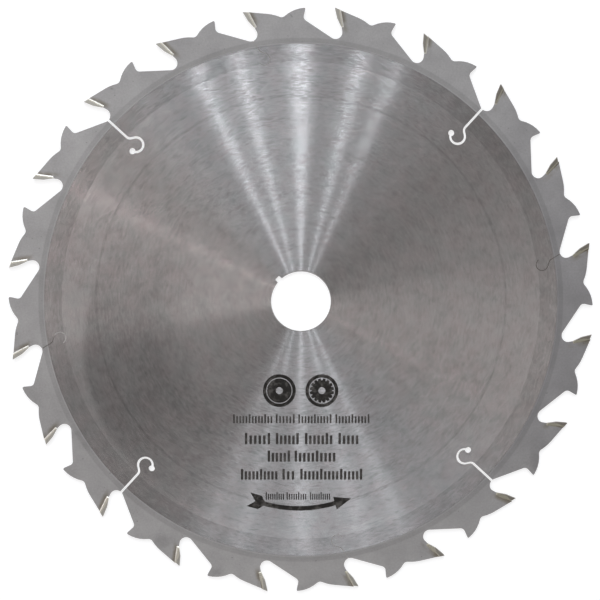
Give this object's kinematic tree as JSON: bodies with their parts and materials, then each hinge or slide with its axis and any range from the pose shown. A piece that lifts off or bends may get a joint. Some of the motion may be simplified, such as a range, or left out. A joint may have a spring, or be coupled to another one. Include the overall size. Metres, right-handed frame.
{
  "type": "brush cutter blade",
  "caption": "Flat round steel brush cutter blade with brazed carbide teeth, depth limiters, hooked expansion slots and a plain central arbor bore.",
  "frame": {"origin": "centre of the arbor bore, halfway through the plate's thickness", "axes": "+Z along the bore's axis, out of the printed face; X and Y lie in the plate, and seen from +Z the teeth point counter-clockwise"},
  "size_m": [0.2484, 0.2484, 0.0028],
  "materials": {
    "plate_steel": "ground round and round, with a satin sheen and a matte rim",
    "carbide": "finely ground, olive grey",
    "braze": "sandblasted silver solder, pale cream",
    "black_ink": "thin black pad print on the upper face"
  },
  "bodies": {
    "root": {"blade_body": "plate_steel", "carbide_tip_01": "carbide", "carbide_tip_02": "carbide", "carbide_tip_03": "carbide", "carbide_tip_04": "carbide", "carbide_tip_05": "carbide", "carbide_tip_06": "carbide", "carbide_tip_07": "carbide", "carbide_tip_08": "carbide", "carbide_tip_09": "carbide", "carbide_tip_10": "carbide", "carbide_tip_11": "carbide", "carbide_tip_12": "carbide", "carbide_tip_13": "carbide", "carbide_tip_14": "carbide", "carbide_tip_15": "carbide", "carbide_tip_16": "carbide", "carbide_tip_17": "carbide", "carbide_tip_18": "carbide", "carbide_tip_19": "carbide", "carbide_tip_20": "carbide", "braze_seam_01": "braze", "braze_seam_02": "braze", "braze_seam_03": "braze", "braze_seam_04": "braze", "braze_seam_05": "braze", "braze_seam_06": "braze", "braze_seam_07": "braze", "braze_seam_08": "braze", "braze_seam_09": "braze", "braze_seam_10": "braze", "braze_seam_11": "braze", "braze_seam_12": "braze", "braze_seam_13": "braze", "braze_seam_14": "braze", "braze_seam_15": "braze", "braze_seam_16": "braze", "braze_seam_17": "braze", "braze_seam_18": "braze", "braze_seam_19": "braze", "braze_seam_20": "braze"}
  },
  "joints": []
}
